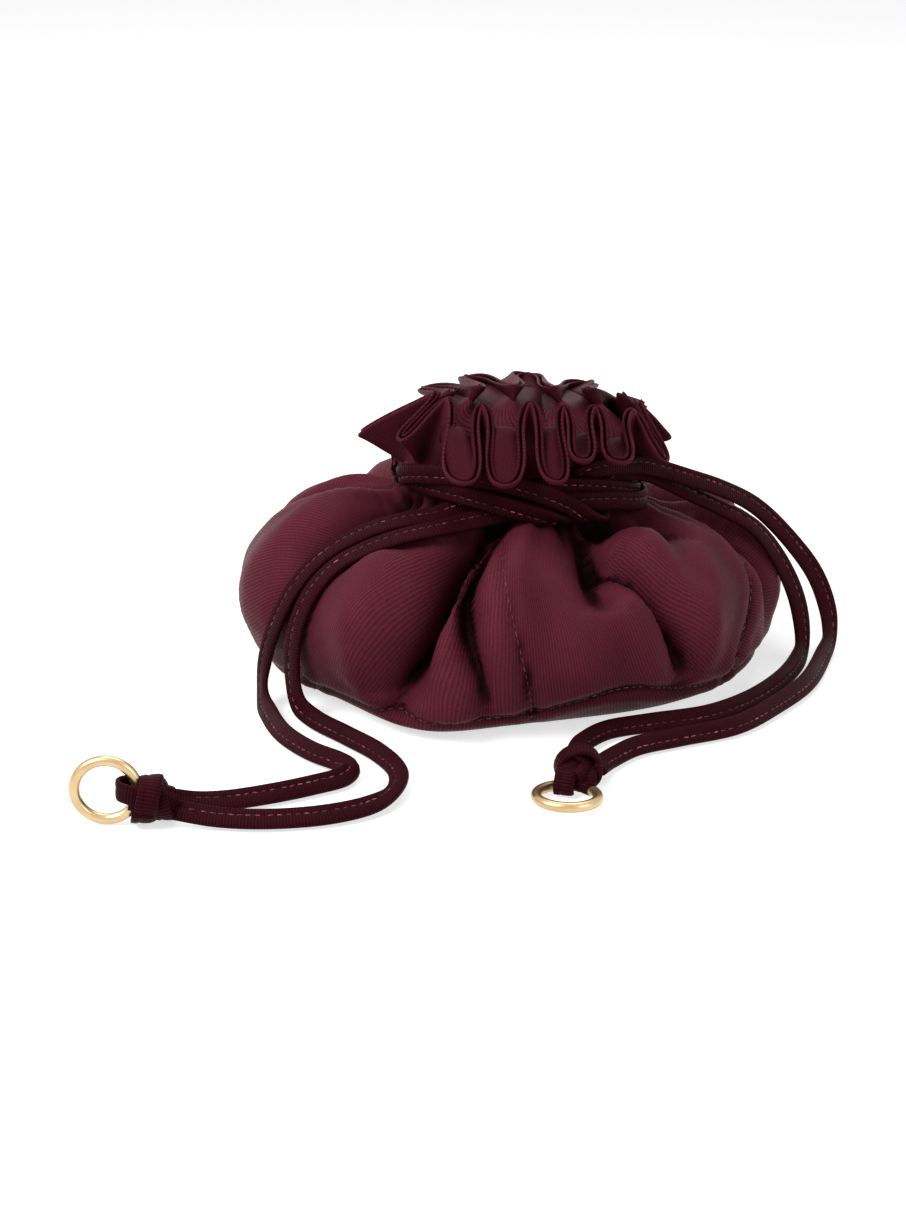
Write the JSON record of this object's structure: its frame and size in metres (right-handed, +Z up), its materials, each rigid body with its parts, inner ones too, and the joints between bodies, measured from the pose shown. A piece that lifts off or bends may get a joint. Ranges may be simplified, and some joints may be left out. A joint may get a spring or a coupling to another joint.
{
  "type": "drawstring pouch",
  "caption": "Round lined satin drawstring pouch with a gathered frill. Flat strap drawstrings, tied at the front, each end in a knotted brass ring.",
  "frame": {"origin": "middle of the base of the pouch, on the surface that it stands on", "axes": "+Z up, +X to the right and -Y towards the viewer as the pouch is seen from the side of the tied drawstrings"},
  "size_m": [0.2217, 0.2096, 0.089],
  "materials": {
    "satin_cloth": "burgundy satin twill",
    "lining_cloth": "burgundy twill lining",
    "satin_strap": "burgundy satin tape, one row of stitches",
    "brass_ring": "brushed"
  },
  "bodies": {
    "pouch": {"outer_cover": "satin_cloth", "lining": "lining_cloth", "drawstring_a_channel": "satin_strap", "drawstring_a_strand_1": "satin_strap", "drawstring_a_strand_2": "satin_strap", "drawstring_a_knot": "satin_strap", "drawstring_b_channel": "satin_strap", "drawstring_b_strand_1": "satin_strap", "drawstring_b_strand_2": "satin_strap", "drawstring_b_knot": "satin_strap"},
    "right_ring": {"ring_a": "brass_ring"},
    "left_ring": {"ring_b": "brass_ring"}
  },
  "joints": [
    {"name": "right_ring_swing", "type": "hinge", "parent": "pouch", "child": "right_ring", "pos_m": [0.01731, -0.10671, 0.0016], "axis": [-0.9397, 0.342, 0], "range_deg": [0, 60]},
    {"name": "left_ring_swing", "type": "hinge", "parent": "pouch", "child": "left_ring", "pos_m": [-0.1011, -0.1278, 0.0101], "axis": [0, 0, 1], "range_deg": [-35, 35]}
  ]
}
